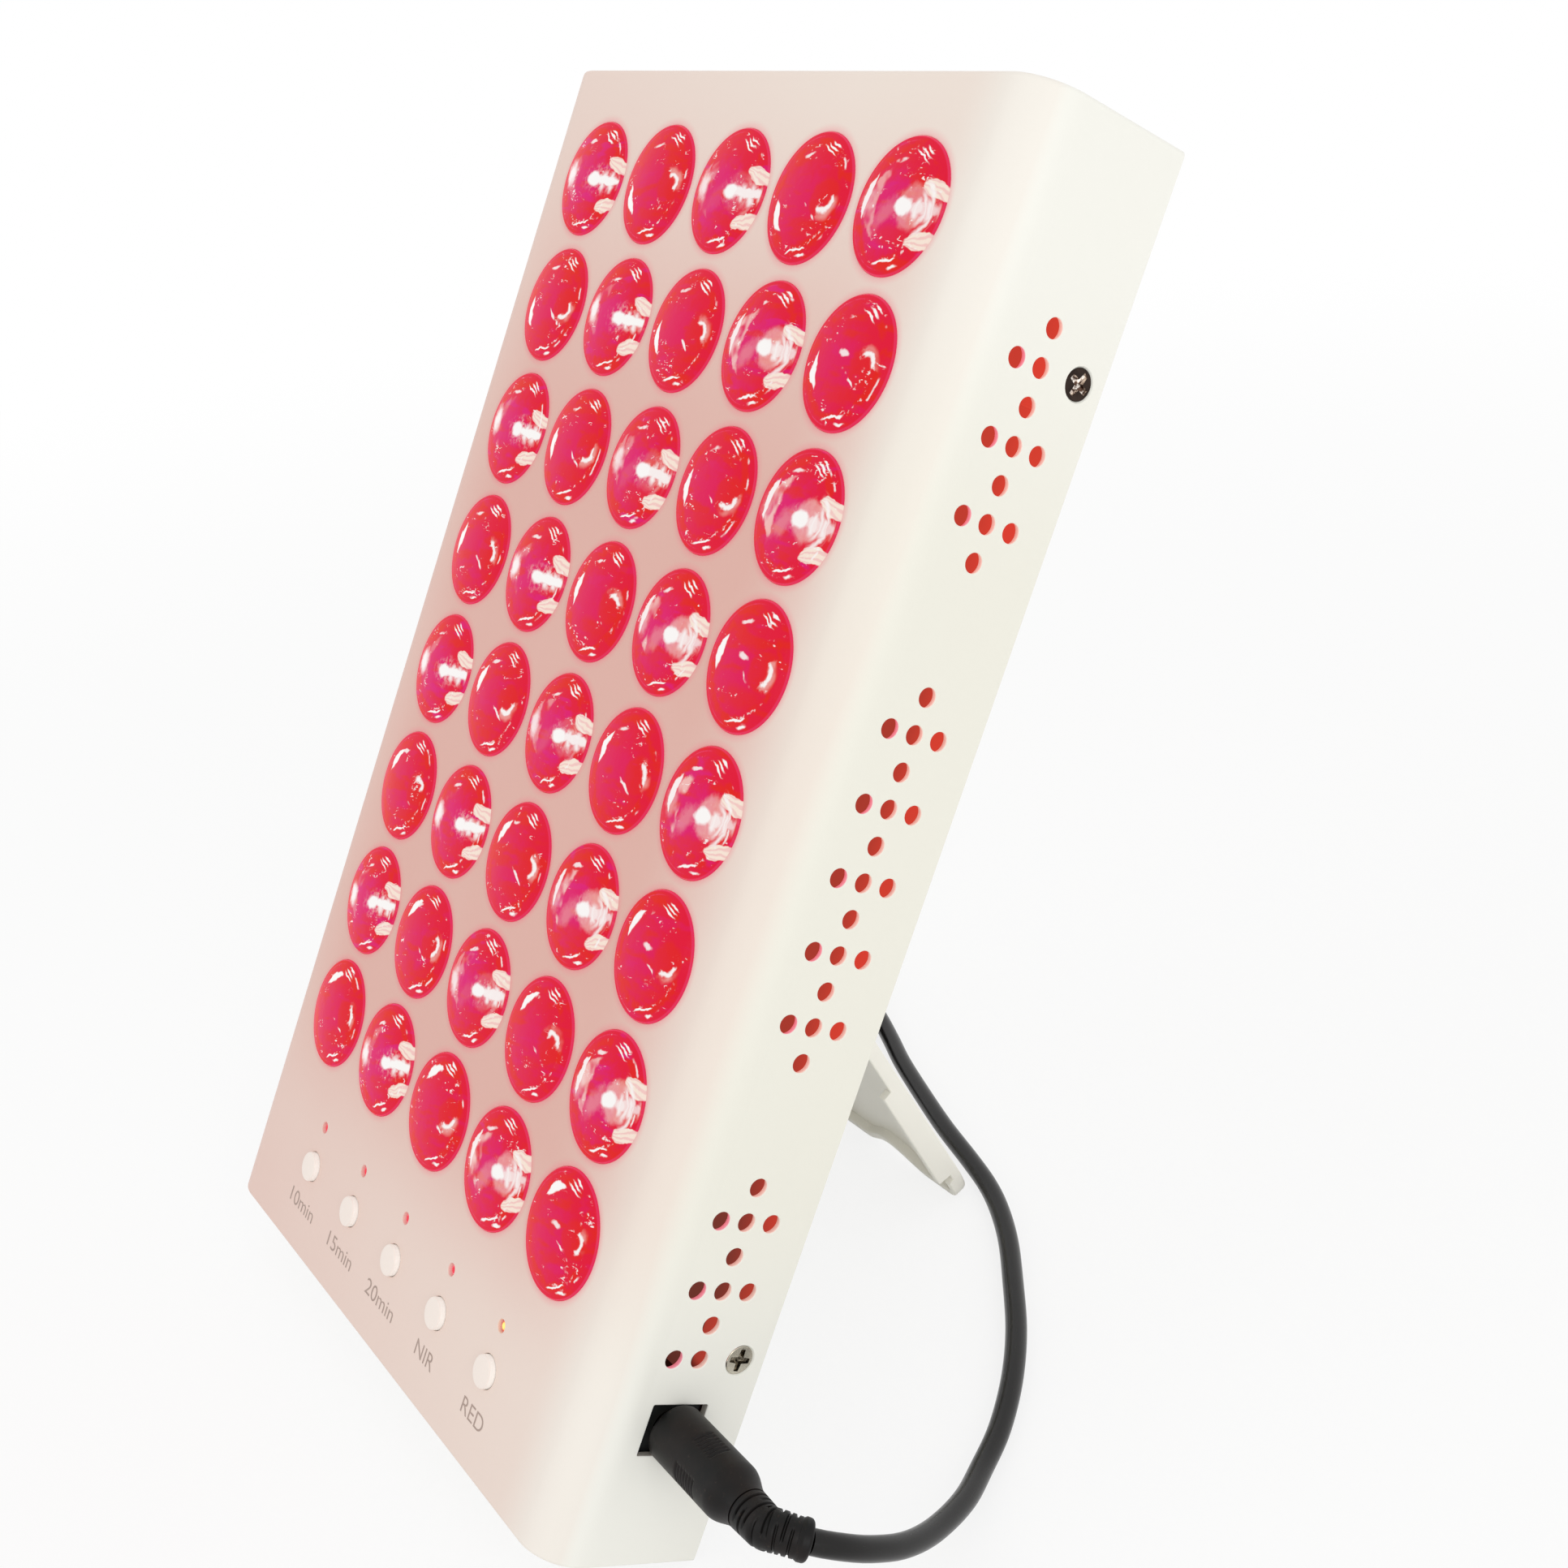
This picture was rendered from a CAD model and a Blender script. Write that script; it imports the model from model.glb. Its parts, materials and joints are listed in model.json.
# Desktop red and near-infrared light panel on its fold-out stand: fine surfaces, finishes,
# camera and light. Metres, +Z up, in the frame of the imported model.
import json
import math
from functools import partialmethod

import bmesh
import bpy
import numpy as np
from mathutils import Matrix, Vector
from mathutils.geometry import delaunay_2d_cdt


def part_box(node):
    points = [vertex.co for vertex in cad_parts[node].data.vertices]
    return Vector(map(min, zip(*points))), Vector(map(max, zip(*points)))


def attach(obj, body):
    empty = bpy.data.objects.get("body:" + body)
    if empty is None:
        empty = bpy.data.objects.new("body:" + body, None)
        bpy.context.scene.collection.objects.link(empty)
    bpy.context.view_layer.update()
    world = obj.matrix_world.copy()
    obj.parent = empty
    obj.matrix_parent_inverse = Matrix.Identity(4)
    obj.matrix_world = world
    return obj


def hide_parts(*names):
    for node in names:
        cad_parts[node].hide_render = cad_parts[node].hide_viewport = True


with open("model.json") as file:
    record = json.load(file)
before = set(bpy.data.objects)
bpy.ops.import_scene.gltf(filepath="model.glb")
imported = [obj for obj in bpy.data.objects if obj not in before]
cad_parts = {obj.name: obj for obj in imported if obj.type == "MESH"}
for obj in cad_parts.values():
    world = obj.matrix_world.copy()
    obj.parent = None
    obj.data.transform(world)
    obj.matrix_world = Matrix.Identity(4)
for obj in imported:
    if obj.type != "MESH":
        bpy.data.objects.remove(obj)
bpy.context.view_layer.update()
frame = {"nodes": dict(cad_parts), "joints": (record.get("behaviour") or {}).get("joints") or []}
nodes = frame["nodes"]
tau = math.tau


def linked(name, data):
    made = bpy.data.objects.new(name, data)
    bpy.context.scene.collection.objects.link(made)
    return made


# Camera, as the photograph was taken

view = {
    "place": (0.32009, -0.15668, 0.26290),
    "turn": (64.241, 5.803, 55.903),  # degrees about X, Y and Z
    "imageSize": 1932,
    "focus": 2422.2,  # in the image's own pixels, as is the optical centre
    "centre": (994.1, 1055.9),
    "sensor": 36.0,
}


def makeCamera():
    data = bpy.data.cameras.new("photoCamera")
    size = view["imageSize"]
    data.sensor_width = view["sensor"]
    data.lens = view["focus"] / size * view["sensor"]
    data.shift_x = 0.5 - view["centre"][0] / size
    data.shift_y = view["centre"][1] / size - 0.5
    data.clip_start = 0.01
    camera = linked("photoCamera", data)
    camera.location = view["place"]
    camera.rotation_euler = [math.radians(a) for a in view["turn"]]
    bpy.context.scene.camera = camera


makeCamera()
bpy.context.scene.view_settings.view_transform = "Standard"
print("camera set")


# The case's own coordinates: X across, Y from the rear face to the room behind, Z up along it

case = {
    "width": 0.154,
    "height": 0.255,
    "depth": 0.032,
    "wall": 0.0015,
    "bend": 0.009,
    "fold": 0.001,
    "lean": math.radians(29.5),
}
leanCos, leanSin = math.cos(case["lean"]), math.sin(case["lean"])
caseSide, caseMiddle = case["width"] / 2, case["height"] / 2  # half the width and half the height
caseShift = -(
    case["height"] * leanSin - case["depth"] * leanCos + case["fold"] * (leanCos + leanSin - 1)
) / 2


def leaned(points):
    # Turns case coordinates back about X by the lean and shifts them on to the table
    x, y, z = np.moveaxis(np.asarray(points, float), -1, 0)
    return np.stack([x, y * leanCos + z * leanSin + caseShift, z * leanCos - y * leanSin], -1)


def onTable(points):
    return np.asarray(points, float)


def fullTurn(sides):
    return np.linspace(0, tau, sides, endpoint=False)


def quarterTurn(count):
    # What a rounded edge of radius 1 leaves free of its first and of its second face
    angle = np.radians(np.linspace(0, 90, count))
    return 1 - np.sin(angle), 1 - np.cos(angle)


def unit(vectors):
    return vectors / np.linalg.norm(vectors, axis=1, keepdims=True)


def slope(value, start, end):
    # 0 up to start, 1 from end on
    return np.clip((value - start) / (end - start), 0, 1)


def distanceAlong(path):
    steps = np.linalg.norm(np.diff(path, axis=0), axis=1)
    return np.concatenate([[0], np.cumsum(steps)])


# Surfaces: grids of points gathered into one mesh

class Skin:
    def __init__(self, place=leaned):
        self.place = place
        self.points, self.spots, self.kinds = [], [], []
        self.faces, self.finishes = [], []
        self.count = 0

    def add(self, points, faces, spot=None, kind=(0, 0, 0), finish=0):
        points = np.asarray(points, float).reshape(-1, 3)
        spot = np.zeros((len(points), 2)) if spot is None else np.reshape(spot, (-1, 2))
        self.points.append(self.place(points))
        self.spots.append(spot)
        self.kinds.append(np.tile(np.asarray(kind, float), (len(points), 1)))
        self.faces += [[i + self.count for i in face] for face in faces]
        self.finishes += [finish] * len(faces)
        self.count += len(points)

    def grid(self, points, wrap=False, ends=False, finish=0, **more):
        # Rows by columns of points. With wrap the last column joins the first, with ends the
        # first and the last row are filled
        rows, columns = points.shape[:2]
        at = np.arange(rows * columns).reshape(rows, columns)
        if wrap:
            at = np.concatenate([at, at[:, :1]], 1)
        quads = np.stack([at[:-1, :-1], at[:-1, 1:], at[1:, 1:], at[1:, :-1]], -1)
        self.add(points, quads.reshape(-1, 4).tolist(), finish=finish, **more)
        for row in (points[0], points[-1]) if ends else ():
            self.patch(row, finish=finish)

    def patch(self, points, finish=0):
        self.add(points, [list(range(len(points)))], finish=finish)

    def make(self, name, looks, body, replaced, sharp=35):
        mesh = bpy.data.meshes.new(name)
        mesh.from_pydata(np.concatenate(self.points).tolist(), [], self.faces)
        mesh.polygons.foreach_set("material_index", self.finishes)
        corner = np.empty(len(mesh.loops), int)
        mesh.loops.foreach_get("vertex_index", corner)
        spots = mesh.uv_layers.new(name="spot")
        spots.data.foreach_set("uv", np.concatenate(self.spots)[corner].ravel())
        kinds = mesh.attributes.new("kind", "FLOAT_VECTOR", "POINT")
        kinds.data.foreach_set("vector", np.concatenate(self.kinds).ravel())
        mend(mesh, lambda bm: bmesh.ops.recalc_face_normals(bm, faces=bm.faces), sharp)
        return addPiece(name, mesh, looks, body, replaced)


def mend(mesh, change, sharp=35):
    # Joins points that coincide, makes one more change and smooths all but sharp edges
    bm = bmesh.new()
    bm.from_mesh(mesh)
    bmesh.ops.remove_doubles(bm, verts=bm.verts, dist=0.000002)
    change(bm)
    bm.to_mesh(mesh)
    bm.free()
    mesh.shade_smooth()
    mesh.set_sharp_from_angle(angle=math.radians(sharp))


def addPiece(name, mesh, looks, body, replaced=""):
    # looks and replaced are names with spaces between them
    for look in looks.split():
        mesh.materials.append(finishes[look])
    piece = linked(name, mesh)
    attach(piece, body)
    if replaced:
        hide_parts(*replaced.split())
    return piece


# Places of turned shapes: local Z points out of the case's front, or out of one of its sides

def outOfFront(x, z):
    def place(p):
        return np.stack([x + p[..., 0], -case["depth"] - p[..., 2], z + p[..., 1]], -1)
    return place


def outOfSide(hand, y, z):
    def place(p):
        return np.stack([hand * (caseSide + p[..., 2]), y + p[..., 0], z + p[..., 1]], -1)
    return place


def turned(skin, profile, place, sides, spotScale=None, **more):
    # A profile of (radius, height) rows is spun about the local Z axis: x = r cos a, y = r sin a
    profile = np.asarray(profile, float)
    angle, radius = fullTurn(sides), profile[:, :1]
    flat = [radius * np.cos(angle), radius * np.sin(angle)]
    local = np.stack([*flat, np.repeat(profile[:, 1:], sides, 1)], -1)
    if spotScale:
        more["spot"] = local[..., :2] / spotScale
    skin.grid(place(local), wrap=True, **more)


def roundedCorner(centre, radius, start, end, steps):
    angle = np.radians(np.linspace(start, end, steps + 1))
    return [(centre[0] + radius * math.cos(a), centre[1] + radius * math.sin(a)) for a in angle]


def roundedRing(x, y, half, corner, steps):
    # A rectangle with round corners; growing it moves every side out
    def ring(grow):
        around = []
        for right, up, start in ((1, 1, 0), (-1, 1, 90), (-1, -1, 180), (1, -1, 270)):
            centre = (x + right * (half[0] - corner), y + up * (half[1] - corner))
            around += roundedCorner(centre, corner + grow, start, start + 90, steps)
        return np.array(around)
    return ring


def circleRing(x, y, sides):
    angle = fullTurn(sides)
    return lambda radius: np.stack([x + radius * np.cos(angle), y + radius * np.sin(angle)], -1)


# Tubes along a path. The frame of each ring comes from the path's heading and the upright

def tube(skin, path, radius, sides):
    # Ring points are path + radius (cos a side + sin a up); radius may vary along and around
    heading = unit(np.gradient(path, axis=0))
    side = unit(np.cross(heading, (0, 0, 1)))
    up = np.cross(side, heading)
    angle = fullTurn(sides)
    radius = np.broadcast_to(radius, (len(path), sides))[..., None]
    across, upwards = np.cos(angle)[None, :, None], np.sin(angle)[None, :, None]
    points = path[:, None] + radius * (across * side[:, None] + upwards * up[:, None])
    along = distanceAlong(path)[:, None]
    spot = np.stack(np.broadcast_arrays(along, angle[None, :] / tau), -1)
    skin.grid(points, wrap=True, ends=True, spot=spot)


def smoothPath(route, spacing):
    # Each stretch blends its two ends and their headings by cubic shares; the first and the
    # last stretch of the route stay straight
    route, steps = np.asarray(route, float), 24
    ends = np.concatenate([[2 * route[0] - route[1]], route, [2 * route[-1] - route[-2]]])
    t = (np.arange(steps) / steps)[None, :, None]
    start, end = ends[1:-2, None], ends[2:-1, None]
    leave, arrive = (end - ends[:-3, None]) / 2, (ends[3:, None] - start) / 2
    fine = (
        start * (2 * t**3 - 3 * t**2 + 1) + leave * (t**3 - 2 * t**2 + t)
        + end * (3 * t**2 - 2 * t**3) + arrive * (t**3 - t**2)
    ).reshape(-1, 3)
    fine = np.concatenate([fine, route[-1:]])[steps:1 - steps]
    middle = resampled(fine, spacing)
    return np.concatenate([route[:1], middle, route[-1:]])


def resampled(path, spacing):
    along = distanceAlong(path)
    count = max(2, round(along[-1] / spacing))
    wanted = np.linspace(0, along[-1], count + 1)
    return np.stack([np.interp(wanted, along, path[:, i]) for i in range(3)], -1)


def block(skin, low, high, edge, finish=0):
    # A box with rounded edges: a rounded outline in Y and Z is carried along X, drawn in at
    # both ends by a quarter circle
    low, high = np.asarray(low, float), np.asarray(high, float)
    free, past = quarterTurn(5)
    inset = edge * np.concatenate([free, past])
    x = np.concatenate([low[0] + edge * past, high[0] - edge * free])
    ring = roundedRing(*(high + low)[1:] / 2, (high - low)[1:] / 2, edge, 4)
    outlines = [ring(-back) for back in inset]
    points = np.stack([np.insert(line, 0, at, 1) for line, at in zip(outlines, x)])
    skin.grid(points, wrap=True, ends=True, finish=finish)


# Finishes: node expressions

def tone(red, green, blue):
    # Display values of 0 to 255 become the scene's linear ones
    share = np.array([red, green, blue]) / 255
    linear = np.where(share <= 0.04045, share / 12.92, ((share + 0.055) / 1.055) ** 2.4)
    return (*[float(v) for v in linear], 1.0)


class Number:
    # One number of a node tree; what is done with it adds Math nodes
    def __init__(self, owner, socket):
        self.owner, self.socket = owner, socket

    def math(self, operation, *others):
        return self.owner.number("ShaderNodeMath", {"operation": operation}, [self, *others])

    __add__ = __radd__ = partialmethod(math, "ADD")
    __mul__ = __rmul__ = partialmethod(math, "MULTIPLY")
    __sub__ = partialmethod(math, "SUBTRACT")
    __truediv__ = partialmethod(math, "DIVIDE")
    __abs__ = partialmethod(math, "ABSOLUTE")
    __gt__ = partialmethod(math, "GREATER_THAN")
    least = partialmethod(math, "MINIMUM")
    nearest = partialmethod(math, "ROUND")
    root = partialmethod(math, "SQRT")
    sine = partialmethod(math, "SINE")
    cosine = partialmethod(math, "COSINE")

    def __rsub__(self, other):
        return self.owner.number("ShaderNodeMath", {"operation": "SUBTRACT"}, [other, self])

    def most(self, *others):
        total = self
        for other in others:
            total = total.math("MAXIMUM", other)
        return total

    def hypot(self, other):
        return (self * self + other * other).root()

    def wave(self):
        return self.sine() * 0.5 + 0.5

    def fade(self, start, end, low=0.0, high=1.0):
        # low below start, high past end, with a soft slope between
        settings = {"interpolation_type": "SMOOTHSTEP", "clamp": True}
        return self.owner.number("ShaderNodeMapRange", settings, [self, start, end, low, high])

    def drop(self, start, end):
        return self.fade(start, end, 1.0, 0.0)


class Nodes:
    # A node tree whose sockets are fed with values, with links or with Number expressions
    def __init__(self, tree):
        self.tree = tree

    def feed(self, socket, value):
        if isinstance(value, Number):
            value = value.socket
        if isinstance(value, bpy.types.NodeSocket):
            self.tree.links.new(value, socket)
        else:
            socket.default_value = value

    def node(self, kind, settings=None, values=()):
        made = self.tree.nodes.new(kind)
        for key, value in (settings or {}).items():
            setattr(made, key, value)
        pairs = values.items() if isinstance(values, dict) else enumerate(values)
        for key, value in pairs:
            self.feed(made.inputs[key], value)
        return made

    def number(self, kind, settings, values):
        return Number(self, self.node(kind, settings, values).outputs[0])

    def seenRays(self):
        # 1 for rays of the camera and for those that gloss or glass sends on
        rays = self.node("ShaderNodeLightPath")
        kinds = ("Is Camera Ray", "Is Glossy Ray", "Is Transmission Ray")
        camera, glossy, through = (Number(self, rays.outputs[kind]) for kind in kinds)
        return camera.most(glossy, through)


class Finish(Nodes):
    def __init__(self, name, **fixed):
        self.material = bpy.data.materials.new(name)
        self.material.use_nodes = True
        super().__init__(self.material.node_tree)
        self.shader = self.tree.nodes["Principled BSDF"]
        for label, value in fixed.items():
            self.shader.inputs[label.replace("_", " ")].default_value = value

    def parts(self, vector):
        made = self.node("ShaderNodeSeparateXYZ", None, [vector])
        return [Number(self, made.outputs[i]) for i in range(3)]

    def objectPlace(self):
        return self.node("ShaderNodeTexCoord").outputs["Object"]

    def spotParts(self):
        made = self.node("ShaderNodeUVMap", {"uv_map": "spot"})
        return self.parts(made.outputs[0])[:2]

    def joined(self, x, y, z):
        return self.node("ShaderNodeCombineXYZ", None, [x, y, z]).outputs[0]

    def casePlace(self):
        # Object coordinates turned upright, so that they run along the case
        shift, turn = (0, caseShift, 0), (-case["lean"], 0, 0)
        values = {"Vector": self.objectPlace(), "Location": shift, "Rotation": turn}
        return self.node("ShaderNodeMapping", {"vector_type": "TEXTURE"}, values).outputs[0]

    def noise(self, place, scale, detail=2.0, rough=0.5):
        values = {"Vector": place, "Scale": scale, "Detail": detail, "Roughness": rough}
        return Number(self, self.node("ShaderNodeTexNoise", None, values).outputs["Fac"])

    def mix(self, share, first, second, blend="MIX"):
        settings = {"data_type": "RGBA", "blend_type": blend}
        # The colours' sockets follow those of the other data types
        return self.node("ShaderNodeMix", settings, {0: share, 6: first, 7: second}).outputs[2]

    def bump(self, height, distance, strength):
        values = {"Strength": strength, "Distance": distance, "Height": height}
        normal = self.node("ShaderNodeBump", None, values).outputs[0]
        self.feed(self.shader.inputs["Normal"], normal)

    def set(self, label, value):
        self.feed(self.shader.inputs[label], value)

    def colour(self, *mixed):
        self.set("Base Color", self.mix(*mixed))

    def wear(self, grain, spread, middle):
        # Roughness that follows a noise about its middle value
        self.set("Roughness", grain * spread + (middle - spread / 2))


# Lenses: where they are on the front, and which of them shine

lens = {
    "columns": 5,
    "rows": 8,
    "pitch": 0.026,
    "radius": 0.0115,
    "topRow": 0.0223,  # below the case's upper edge
    "rise": 0.0015,
    "rim": 0.0003,
    "bodyDepth": 0.011,
    "rearRadius": 0.0055,
    "taper": (0.98, -0.0027),  # share of the radius, and height, where the rear cone ends
    "barrelFrom": -0.0024,
    "rimSoft": 0.0002,
    "sides": 72,
    "stripHeight": 0.020,
    "stripEnd": 0.0128,
    "stripThickness": 0.0015,
    "stripEdge": 0.0003,
    "clearance": 0.0003,
}
lensX = (np.arange(lens["columns"]) - (lens["columns"] - 1) / 2) * lens["pitch"]
lensZ = case["height"] - lens["topRow"] - np.arange(lens["rows"]) * lens["pitch"]


paint = {
    "front": tone(239, 226, 215),
    "warm": tone(223, 176, 164),
    "side": tone(246, 245, 237),
    "sideMiddle": tone(240, 238, 226),
    "halo": tone(240, 120, 136),
    "haloWidth": 0.0018,
    "grain": 0.00003,
    "roughness": 0.48,
}


def paintFinish():
    # Powder coat. The red light warms it between the lenses, less and less towards the top
    # and the right edge, and draws a thin halo round each lens
    f = Finish("powderCoat")
    place = f.casePlace()
    x, y, z = f.parts(place)
    middleZ, pitch = float(lensZ.mean()), lens["pitch"]
    column = (x / pitch).nearest().most(-2.0).least(2.0) * pitch
    row = ((z - middleZ) / pitch - 0.5).nearest().most(-4.0).least(3.0) + 0.5
    rim = (x - column).hypot(z - middleZ - row * pitch) - lens["radius"]
    grid = z.fade(0.020, 0.062) * z.drop(0.175, 0.262) * abs(x + 0.006).drop(0.045, 0.085)
    spill = (0.34 - x * 3.0 - z).most(0.0)
    patchy = f.noise(place, 34.0) * 0.20 + 0.90
    warm = (1.0 - (1.0 - spill) * (1.0 - grid)) * patchy
    front = f.mix(warm, paint["front"], paint["warm"])
    side = f.mix(abs(z - caseMiddle).drop(0.05, 0.11), paint["side"], paint["sideMiddle"])
    behind = y + case["depth"]
    beside = x.fade(0.058, 0.0735) * (0.65 - z.fade(0.03, 0.07) * z.drop(0.13, 0.19) * 0.4)
    base = f.mix(behind.fade(0.0006, 0.0065).most(beside), front, side)
    halo = rim.drop(-0.0001, paint["haloWidth"]) * behind.drop(0.0001, 0.002) * 0.35
    f.colour(halo, base, paint["halo"])
    f.wear(f.noise(place, 900.0), 0.10, paint["roughness"])
    f.bump(f.noise(place, 2600.0, 3.0, 0.6), paint["grain"], 0.35)
    return f.material


inside = {
    "red": tone(196, 67, 51),
    "boardRed": tone(196, 64, 50),
    "speckle": tone(205, 66, 52),
    "weakRed": tone(104, 55, 46),
    "strong": tone(150, 44, 40),
    "weak": tone(110, 44, 40),
    "dark": tone(22, 10, 10),
    "none": (0.0, 0.0, 0.0, 1.0),
}


def litFinish(name, colour, strength, speckle=60.0):
    # Inner parts seen through the vents, bathed in the panel's own red light. It is strongest
    # close behind the vents and falls off towards the lowest lenses
    f = Finish(name, Roughness=0.6, Emission_Strength=strength)
    cloud = f.noise(f.objectPlace(), speckle)
    x, y, upCase = f.parts(f.casePlace())
    rim = abs(x).fade(caseSide - 0.005, caseSide - 0.003)
    rim = rim.most(abs(upCase - caseMiddle).fade(caseMiddle - 0.005, caseMiddle - 0.003))
    seam = rim * y.fade(-0.0060, -0.0040)
    bay = x.fade(caseSide - 0.018, caseSide - 0.012) * upCase.drop(0.034, 0.037)
    lightened = upCase.fade(0.006, 0.038) * (1.0 - seam.most(bay))
    inward = abs(x).drop(caseSide - 0.020, caseSide - 0.001)
    power = upCase.fade(0.030, 0.100) * 0.6 + upCase.fade(0.150, 0.205) * 0.25
    power = (power - inward * 0.8 + 0.68).fade(-0.1, 1.1)
    base = f.mix(power, inside["weak"], inside["strong"])
    f.colour(lightened, inside["dark"], base)
    red = f.mix(cloud.fade(0.3, 0.75), colour, inside["speckle"])
    red = f.mix(power, inside["weakRed"], red)
    f.set("Emission Color", f.mix(lightened, inside["none"], red))
    return f.material


glow = {
    "red": tone(231, 22, 58),
    "magenta": tone(226, 20, 122),
    "orange": tone(232, 38, 14),
    "edge": tone(238, 70, 118),
    "white": tone(255, 252, 250),
    "cream": tone(253, 238, 222),
    "milk": tone(249, 206, 198),
    "streak": tone(240, 140, 160),
    "strength": 1.0,
    "shown": (0.84, 0.84, 0.84, 1.0),  # shares of the light's colour that shine and reflect
    "reflected": (0.10, 0.10, 0.10, 1.0),
}


def litEdgeFinish():
    # Walls of the punched vents, where the light from inside comes out, pinker near the front
    f = Finish("litVentEdge", Roughness=0.5, Emission_Strength=0.2)
    place = f.casePlace()
    _, y, z = f.parts(place)
    near, above = y.drop(-0.0172, -0.0158), z.fade(0.033, 0.036)
    base = f.mix(f.noise(place, 300.0), tone(252, 234, 224), tone(248, 224, 212))
    base = f.mix(near * 0.7, base, tone(246, 176, 196))
    f.colour(above, tone(206, 200, 190), base)
    light = f.mix(near, tone(242, 204, 192), tone(242, 120, 152))
    f.set("Emission Color", f.mix(above, inside["none"], light))
    return f.material


class LensMarks:
    # Masks on the disc of a lens, where (u, v) runs to a radius of 1. Noise frays them
    def __init__(self, u, v, ragged):
        self.u, self.v, self.ragged = u, v, ragged
        self.radius = u.hypot(v)

    def along(self, tip, turn):
        # Distances along and across a line that leaves the tip at an angle in degrees
        a, b = math.cos(math.radians(turn)), math.sin(math.radians(turn))
        du, dv = self.u - tip[0], self.v - tip[1]
        return du * a + dv * b, dv * a - du * b

    def blob(self, centre, half, turn, edge, fray):
        along, across = self.along(centre, turn)
        away = (along / half[0]).hypot(across / half[1]) + self.ragged * fray
        return away.drop(1.0 - edge, 1.0 + edge)

    def strokes(self, first, step, count, half, turn, fray):
        # Thin parallel blobs, the later ones shorter
        total = self.blob(first, half, turn, 0.4, fray)
        for i in range(1, count):
            centre = (first[0] + i * step[0], first[1] + i * step[1])
            share = 1 - 0.18 * i
            total = total.most(self.blob(centre, (half[0] * share, half[1]), turn, 0.4, fray))
        return total

    def petal(self, centre, half, turn, tip):
        # An oval with fine stripes that fan out from its tip
        shape = self.blob(centre, half, turn, 0.08, 0.25)
        along, across = self.along(tip, turn)
        share = across / (along.most(0.0) + 0.10)
        stripes = (share * 34.0 + self.ragged * 2.4).wave()
        return shape, stripes.fade(0.35, 0.95)

    def ringStretch(self, at, angle, halfSpan, halfWidth, fray):
        # A stretch of the ring of radius "at" that tapers away from the angle, a Number
        a, b = angle.cosine(), angle.sine()
        across = abs(self.v * a - self.u * b) / halfSpan
        off = abs(self.radius - at + self.ragged * 0.05) / halfWidth
        shape = off + across * across + self.ragged * fray
        return shape.drop(0.75, 1.15) * (self.u * a + self.v * b > 0.0)


blobs = {
    # centre, half sizes, turn in degrees, softness of the edge, fraying
    "lowPatch": ((0.28, -0.86), (0.09, 0.022), 10, 0.5, 1.8),
    "leftDash": ((-0.24, 0.62), (0.13, 0.03), 10, 0.4, 1.4),
    "head": ((0.23, -0.03), (0.19, 0.12), 0, 0.25, 0.4),
    "tail": ((0.64, -0.03), (0.42, 0.085), 0, 0.3, 1.0),
    "beads": ((0.66, -0.05), (0.36, 0.16), 0, 0.35, 0.8),
    "nearSpot": ((0.25, -0.02), (0.16, 0.13), 0, 0.25, 0.5),
    "farSpot": ((0.54, -0.04), (0.11, 0.10), 0, 0.25, 0.5),
    "milk": ((0.42, -0.03), (0.44, 0.22), 0, 0.5, 1.2),
    "leftDot": ((-0.70, 0.04), (0.15, 0.20), 8, 0.6, 1.3),
    "haze": ((-0.16, -0.14), (0.30, 0.14), 40, 0.6, 1.6),
    "knot": ((-0.02, 0.12), (0.12, 0.04), -8, 0.4, 1.2),
    "rosy": ((-0.12, -0.13), (0.55, 0.55), 25, 0.5, 1.1),
    "low": ((0.12, -0.45), (0.42, 0.16), 0, 0.5, 1.2),
}


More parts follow.
